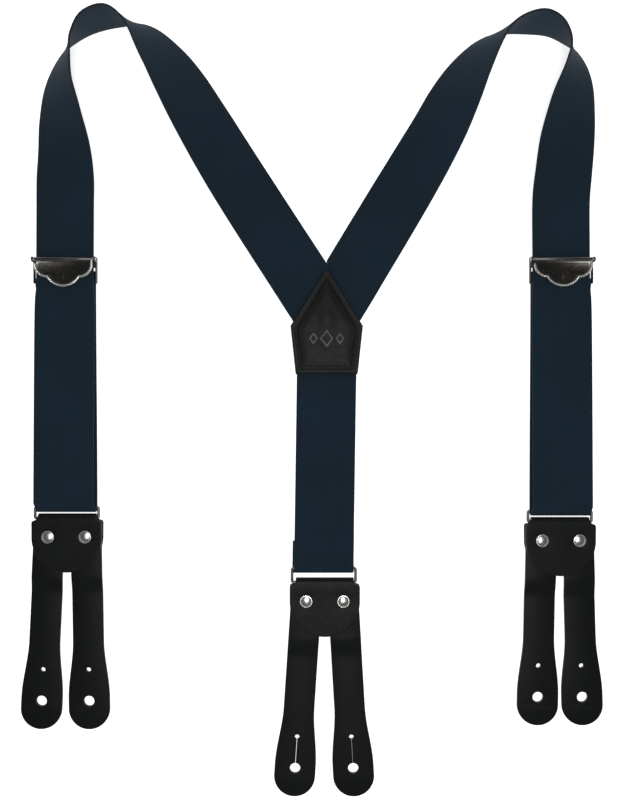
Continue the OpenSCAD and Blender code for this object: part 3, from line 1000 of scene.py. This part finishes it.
# %% Flaps
FLAP_T = 1.75
FLAP_R = 22.25
FLAP_DROP = 34.2
FLAP_SWELL = 31
FLAP_FOLD_W = 36.8
RIVET_GAP = 23.6
RIVET_V = -11.6
RING_PITCH = 9.0
SIDE_RING_PITCH = 6.9
BAR_Z = RING_BAR_Z / MM
FOLD_LENGTH = math.pi * (BAR_Z - FLAP_T / 2)
TABS = {
    "back": (7.8, BACK_RING_Y - RING_PITCH),
    "left": (-155.9, LEFT_RING_Y - SIDE_RING_PITCH),
    "right": (157.4, RIGHT_RING_Y - SIDE_RING_PITCH),
}


def flap_blank():
    """The flap before folding: along X from one rounded end to the other."""
    end = arc(FLAP_R, 0, FLAP_R, 180, 90, 30)
    neck = [
        (FLAP_DROP - 2.6, FLAP_R), (FLAP_DROP - 1.9, FLAP_R - 0.35), (FLAP_DROP - 1.4, FLAP_R - 1),
        (FLAP_DROP - 1.05, FLAP_R - 2.6), (FLAP_DROP - 0.3, FLAP_FOLD_W / 2 + 0.5),
        (FLAP_DROP + 0.8, FLAP_FOLD_W / 2),
    ]
    quarter = end + neck
    total = 2 * FLAP_DROP + FOLD_LENGTH
    upper = quarter + [(total - x, y) for x, y in reversed(quarter)]
    lower = [(x, -y) for x, y in reversed(upper[1:-1])]
    outline = [(x * MM, y * MM) for x, y in upper + lower]
    flap = blank("flap", outline, FLAP_T * MM, -FLAP_T / 2 * MM)
    soften(flap, 0.4 * MM)
    for s in (-1, 1):
        for x in (FLAP_DROP + RIVET_V, total - FLAP_DROP - RIVET_V):
            punch(flap, x * MM, s * RIVET_GAP / 2 * MM, 1.42 * MM, 4 * MM, -2 * MM, 16)
    score(flap, 0, 0.7 * MM)
    score(flap, 1, 1.5 * MM)

    def pulled(x, y):
        near = min(x, total * MM - x)
        dip = 0.0
        for s in (-1, 1):
            gap = math.hypot(near - (FLAP_DROP + RIVET_V) * MM, y - s * RIVET_GAP / 2 * MM)
            dip -= 0.3 * MM * math.exp(-((gap / (5.5 * MM)) ** 2))
        return dip + 0.22 * MM * math.exp(-(((near - FLAP_SWELL * MM) / (5 * MM)) ** 2))

    for vertex in flap.data.vertices:
        vertex.co.z += pulled(vertex.co.x, vertex.co.y) * (1.0 if vertex.co.z > 0 else 0.0)
    return flap


def flap_path():
    z = BAR_Z - FLAP_T / 2
    line = [(-FLAP_DROP, BAR_Z + z), (-FLAP_DROP / 2, BAR_Z + z)]
    line += arc(0, BAR_Z, z, 90, -90, 24) + [(-FLAP_DROP / 2, BAR_Z - z), (-FLAP_DROP, BAR_Z - z)]
    return [(0, y * MM, z * MM, 0.0, 1.0) for y, z in line]


flap_pattern = wear(leather, leather_edge_highlight)(flap_blank())
for face in flap_pattern.data.polygons:
    face.material_index = int(abs(face.normal.z) < 0.6)
lay(flap_pattern, flap_path())
smooth(flap_pattern)
flaps = {}
for tab, (x, y) in TABS.items():
    flap = flaps[tab] = settle(copy_of(flap_pattern, tab + "_flap"), (x * MM, y * MM, 0))
    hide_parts(tab + "_tab_wrap")
    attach(flap, tab + "_tab")
bpy.data.objects.remove(flap_pattern)
print("flaps:", sorted(flaps))

# %% [markdown]
# ## Leather legs
# A leg is stiff strap leather, 2.2 mm thick, punched with a button hole, a small relief hole and a
# slit between the two, so that a button's edge can pass. It steps down from between the flap's
# layers to the table. The slit of a leg that has been used most stands a little open.

# %% Legs
LEG_T = 2.2
LEG_W = 19.6
LEG_END_W = 26.2
LEG_Z = 1.85
BUTTON_HOLE_R = 3.35
RELIEF_HOLE_R = 1.5
RELIEF_RISE = 20
LEGS = [
    ("back_left_leg", "back", -1, -3.8, 107.4, 0.3),
    ("back_right_leg", "back", 1, 3.4, 107.4, 0.12),
    ("left_outer_leg", "left", -1, -2.75, 105.2, 0.12),
    ("left_inner_leg", "left", 1, 0.9, 105.2, 0.12),
    ("right_inner_leg", "right", -1, -1.1, 100.4, 0.12),
    ("right_outer_leg", "right", 1, 1.6, 100.4, 0.12),
]


def leg_half_width(s, reach):
    return LEG_W / 2 + (LEG_END_W - LEG_W) / 2 * ease((s - reach + 38) / 36)


def leg_piece(name, reach, slit):
    end = reach + 5
    steps = 24
    side = [(leg_half_width(end * i / steps, reach), -end * i / steps) for i in range(1, steps)]
    outline = arc(0, 0, LEG_W / 2, 0, 180, 24)
    outline += [(-x, y) for x, y in side]
    outline += arc(0, -end, LEG_END_W / 2, 180, 360, 36)
    outline += reversed(side)
    leg = blank(name, [(x * MM, y * MM) for x, y in outline], LEG_T * MM)
    soften(leg, 0.45 * MM)
    punch(leg, 0, 0, 1.48 * MM, 10 * MM, -2 * MM, 16)
    clear_selection()
    bpy.ops.mesh.primitive_cube_add(size=1, location=(0, (RELIEF_RISE / 2 - reach) * MM, 0))
    slot_cutter = named("slit")
    slot_cutter.scale = (slit * MM, RELIEF_RISE * MM, 10 * MM)
    cut(leg, slot_cutter)
    punch(leg, 0, (RELIEF_RISE - reach) * MM, RELIEF_HOLE_R * MM, 10 * MM, -2 * MM, 28)
    punch(leg, 0, -reach * MM, BUTTON_HOLE_R * MM, 10 * MM, -2 * MM, 48)
    score(leg, 1, 2 * MM)
    shape(leg, lambda x, y: LEG_Z * MM * (1 - ease((-y / MM - 24) / 13)))
    wear(leather, leather_edge_highlight)(leg)
    for face in leg.data.polygons:
        face.material_index = int(abs(face.normal.z) < 0.6)
    return smooth(leg)


for node, tab, s, angle, reach, slit in LEGS:
    leg = leg_piece(node + "_leather", reach, slit)
    x, y = TABS[tab]
    place = ((x + s * RIVET_GAP / 2) * MM, (y + RIVET_V) * MM, 0)
    settle(leg, place, math.radians(angle))
    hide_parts(node)
    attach(leg, node)
print("legs:", len(LEGS))

# %% [markdown]
# ## Rivet caps
# The caps are pressed from thin sheet, with a rolled rim and a low dome. A turned profile gives the
# shape. No two domes are quite alike after setting, so each is tipped by a fraction of a degree.

# %% Rivet caps
CAP_PROFILE = [
    (0, 1.3), (0.4, 1.295), (0.9, 1.26), (1.5, 1.18), (2.1, 1.07), (2.7, 0.92), (3.1, 0.78),
    (3.35, 0.66), (3.5, 0.62), (3.65, 0.66), (3.85, 0.6), (3.98, 0.42), (4.0, 0.2), (3.95, 0.02),
    (3.0, 0.0), (0, 0.0),
]


def turned(name, profile, steps=48):
    """A turned piece. The profile lists (radius, height) from its top middle to its base middle."""
    clear_selection()
    levels = len(profile) - 1
    bpy.ops.mesh.primitive_uv_sphere_add(segments=steps, ring_count=levels, radius=1)
    piece = named(name)
    for vertex in piece.data.vertices:
        polar = math.acos(max(-1.0, min(1.0, vertex.co.z)))
        radius, height = profile[round(polar / math.pi * levels)]
        around = math.atan2(vertex.co.y, vertex.co.x)
        vertex.co = (radius * MM * math.cos(around), radius * MM * math.sin(around), height * MM)
    return piece


for index, (tab, (x, y)) in enumerate(TABS.items()):
    caps = []
    for s in (-1, 1):
        cap = turned("cap", CAP_PROFILE)
        tip = Matrix.Rotation(math.radians(1.2 * s), 4, "X" if index else "Y")
        cap.data.transform(tip)
        place = ((x + s * RIVET_GAP / 2) * MM, (y + RIVET_V) * MM, (2 * BAR_Z - 0.22) * MM)
        caps.append(settle(cap, place))
    pair = smooth(wear(nickel)(joined(tab + "_caps", caps)), 60)
    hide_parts(tab + "_rivet_caps")
    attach(pair, tab + "_tab")
print("caps: two to a tab")

# %% [markdown]
# ## Rings, frames, pins and rivet posts
# These are plain wire, rod and sheet, and the CAD solids already have their shape. They only need
# the plated finish and smooth shading. On the rings, the plate is painted darker as a painted
# reflection of the dark surroundings.

# %% Plain metal
PLAIN_METAL = [tab + part for tab in TABS for part in ("_ring", "_rivet_posts")]
for side in ("left", "right"):
    PLAIN_METAL += [side + "_adjuster_frame", side + "_adjuster_pin"]
for node in PLAIN_METAL:
    finish = old_nickel
    if "rivet" in node or "pin" in node:
        finish = nickel
    # The rings get the nickel painted dark: a painted reflection of the dark surroundings.
    elif "ring" in node:
        finish = dark_reflection_nickel
    wear(finish)(smooth(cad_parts[node], 40))
print("plain metal:", len(PLAIN_METAL), "nodes")

# %% [markdown]
# ## Adjuster plates
# The plate is a small casting with three lobes. A twisted rope runs along its edge, inside that a
# narrow bright ledge slopes down to a dark field, and the field carries a faint scroll of no
# particular maker. The barrel along its upper edge turns on the pin, and the teeth below grip.

# %% Adjuster plates
PLATE_Z = 6.6
PLATE_T = 1.2
PIN_Z = 7.7
PLATE_HALF = 18.4
LOBE = (0, -5.3, 12)
SIDE_LOBE = (10, -3.2, 8.4)
ROPE_INSET = 0.55


def plate_outline(inset, steps=16):
    """The plate's three-lobed edge from upper right to upper left, moved inwards."""
    lobe_r, side_r = LOBE[2] - inset, SIDE_LOBE[2] - inset
    to_side = Vector((SIDE_LOBE[0] - LOBE[0], SIDE_LOBE[1] - LOBE[1]))
    gap = to_side.length
    along = (lobe_r**2 - side_r**2 + gap**2) / (2 * gap)
    across = math.sqrt(lobe_r**2 - along**2)
    ux, uy = to_side.normalized()
    notch = Vector((along * ux + across * uy, along * uy - across * ux))
    lobe_angle = math.degrees(math.atan2(notch.y, notch.x))
    from_side = notch - to_side
    side_angle = math.degrees(math.atan2(from_side.y, from_side.x))
    right = arc(SIDE_LOBE[0], SIDE_LOBE[1], side_r, 0, side_angle, steps)
    middle = arc(LOBE[0], LOBE[1], lobe_r, lobe_angle, -180 - lobe_angle, 2 * steps)
    left = [(-x, y) for x, y in reversed(right)]
    top = -max(inset, 0.4)
    return [(right[0][0], top)] + right + middle[1:-1] + left + [(left[-1][0], top)]


def in_metres(points):
    return [(x * MM, y * MM) for x, y in points]


def wire(name, points, radius, sides=3):
    """A round wire through points, as a mesh."""
    line = bpy.data.curves.new(name, "CURVE")
    line.dimensions = "3D"
    line.bevel_depth = radius
    line.bevel_resolution = sides
    line.use_fill_caps = True
    spline = line.splines.new("POLY")
    spline.points.add(len(points) - 1)
    for point, place in zip(spline.points, points):
        point.co = tuple(place) + (1,)
    piece = bpy.data.objects.new(name, line)
    bpy.context.collection.objects.link(piece)
    take(piece)
    bpy.ops.object.convert(target="MESH")
    return bpy.context.object


def evenly(points, step):
    """The same open line with points at even steps along it."""
    result, carried = [Vector(points[0])], 0.0
    for a, b in zip(points, points[1:]):
        a, b = Vector(a), Vector(b)
        gap = (b - a).length
        at = step - carried
        while at <= gap:
            result.append(a + (b - a) * at / gap)
            at += step
        carried = gap - (at - step)
    return result


def rope(outline, height, pitch=2.3, strand=0.44, offset=0.34):
    """Two strands twisted round each other along an outline."""
    step = 0.2
    line = evenly(outline, step)
    strands = []
    for phase in (0, math.pi):
        points = []
        for i, here in enumerate(line):
            ahead = line[min(i + 1, len(line) - 1)] - line[max(i - 1, 0)]
            side = Vector((-ahead.y, ahead.x)).normalized()
            turn = phase + 2 * math.pi * i * step / pitch
            flat = here + side * offset * math.cos(turn)
            rise = height + offset * math.sin(turn)
            points.append((flat.x * MM, flat.y * MM, rise * MM))
        strands.append(wire("strand", points, strand * MM, 2))
    return strands


def scroll(cx, cy, radius, start, turns, height, thick=0.24):
    """A flat spiral that winds inwards."""
    points = []
    for i in range(41):
        t = i / 40
        angle = math.radians(start) + turns * 2 * math.pi * t
        r = radius * (1 - 0.8 * t)
        x, y = cx + r * math.cos(angle), cy + r * math.sin(angle)
        points.append((x * MM, y * MM, height * MM))
    return wire("scroll", points, thick * MM, 2)


def adjuster_plate(side, x):
    top = PLATE_Z + PLATE_T
    plate = blank("plate", in_metres(plate_outline(0)), PLATE_T * MM, PLATE_Z * MM)
    soften(plate, 0.25 * MM, 2)
    low_edge, high_edge = in_metres(plate_outline(2.2)), in_metres(plate_outline(0.4))
    field = blank("field", low_edge, MM, (top - 0.5) * MM)
    for vertex in field.data.vertices:
        if vertex.co.z > top * MM:
            nearest = min(range(len(low_edge)), key=lambda k: math.dist(low_edge[k], vertex.co.xy))
            vertex.co.x, vertex.co.y = high_edge[nearest]
    cut(plate, field)
    # The sloping ledge faces get the nickel painted dark: a painted reflection of the dark
    # surroundings.
    wear(old_nickel, dark_reflection_nickel)(plate)
    for face in plate.data.polygons:
        face.material_index = int(0.2 < face.normal.z < 0.95)
    clear_selection()
    bpy.ops.mesh.primitive_cylinder_add(vertices=40, radius=1.25 * MM, depth=2 * PLATE_HALF * MM)
    # The barrel is nickel painted dark as well: a painted reflection, with only a thin real
    # highlight from the lamp.
    barrel = wear(dark_reflection_nickel)(named("barrel"))
    barrel.data.transform(Matrix.Rotation(math.pi / 2, 4, "Y"))
    settle(soften(barrel, 0.2 * MM, 2), (0, 0, PIN_Z * MM))
    clear_selection()
    bpy.ops.mesh.primitive_cube_add(size=1)
    teeth = wear(old_nickel)(named("teeth"))
    teeth.data.transform(Matrix.Diagonal((1.2 * MM, 1.4 * MM, 0.5 * MM, 1)))
    teeth.data.transform(Matrix.Translation((-14.4 * MM, -3.8 * MM, (PLATE_Z - 0.15) * MM)))
    use_modifier(
        teeth,
        "ARRAY",
        count=13,
        use_relative_offset=False,
        use_constant_offset=True,
        constant_offset_displace=(2.4 * MM, 0, 0),
    )
    floor_z = top - 0.42
    scrolls = [
        scroll(s * 4.6, -7.4, 3.1, 90, -1.6 * s, floor_z) for s in (-1, 1)
    ] + [scroll(s * 11.2, -5.6, 2.5, 160 if s > 0 else 20, 1.5 * s, floor_z) for s in (-1, 1)]
    leaf = blank(
        "leaf",
        in_metres([(0, -9.2), (1.1, -11.6), (0, -14.2), (-1.1, -11.6)]),
        0.3 * MM,
        (floor_z - 0.15) * MM,
    )
    for piece in [leaf] + scrolls:
        wear(old_nickel)(piece)
    strands = [wear(nickel)(s) for s in rope(plate_outline(ROPE_INSET)[:-1], top + 0.32)]
    lever = joined(side + "_adjuster_plate", [plate, barrel, teeth, leaf] + scrolls + strands)
    settle(lever, (x * MM, ADJUSTER_Y * MM, 0))
    smooth(lever, 40)
    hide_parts(side + "_adjuster_lever")
    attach(lever, side + "_lever")
    print(side, "plate has", len(lever.data.polygons), "faces")
    return lever


adjuster_plate("left", LEFT_X + REAR_SHIFT)
adjuster_plate("right", RIGHT_X - REAR_SHIFT)

# %% [markdown]
# ## Table, sky and lamp
# The suspenders lie on a back-lit white sheet in a light tent: bright cloth on every side, dark
# overhead where the camera looks through, and one soft lamp above that makes the metal shine.

# %% Floor and light
clear_selection()
bpy.ops.mesh.primitive_plane_add(size=6, location=(0, 0, -0.2 * MM))
floor = named("white_floor")
paper, _, _ = new_material(
    "white_paper",
    {
        "Base Color": srgb("#f4f4f4"),
        "Roughness": 0.95,
        "Specular IOR Level": 0.1,
        "Emission Color": (1, 1, 1, 1),
        "Emission Strength": 0.78,
    },
)
wear(paper)(floor)
floor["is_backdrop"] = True

SIDE_LIGHT = 1.0
OVERHEAD_LIGHT = 0.08
world = bpy.data.worlds.new("light tent")
world.use_nodes = True
bpy.context.scene.world = world
sky = world.node_tree
direction = add_node(sky, "ShaderNodeTexCoord").outputs["Generated"]
height = add_node(sky, "ShaderNodeSeparateXYZ", links={0: direction}).outputs["Z"]
strength = add_node(
    sky,
    "ShaderNodeMapRange",
    {"From Min": 0.3, "From Max": 0.65, "To Min": SIDE_LIGHT, "To Max": OVERHEAD_LIGHT},
    {"Value": height},
)
background = sky.nodes["Background"]
background.inputs["Color"].default_value = (1, 1, 1, 1)
sky.links.new(strength.outputs[0], background.inputs["Strength"])

lamp_data = bpy.data.lights.new("softbox", "AREA")
lamp_data.shape = "RECTANGLE"
lamp_data.size = 0.3
lamp_data.size_y = 0.6
lamp_data.energy = 6
lamp = bpy.data.objects.new("softbox", lamp_data)
lamp.location = (0.03, -0.05, 1.2)
bpy.context.collection.objects.link(lamp)
bpy.context.scene.view_settings.view_transform = "Standard"
print("lights ready")

# %% [markdown]
# ## Finish
# The last cell compares the finished size with the CAD size, and hands the scene over.

# %% Measure and finish
new_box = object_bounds()
sizes = {
    "cad": [list(corner) for corner in cad_box],
    "visual": [list(corner) for corner in new_box],
}
for label, (low, high) in sizes.items():
    print(label, [round((b - a) / MM, 1) for a, b in zip(low, high)], "mm")
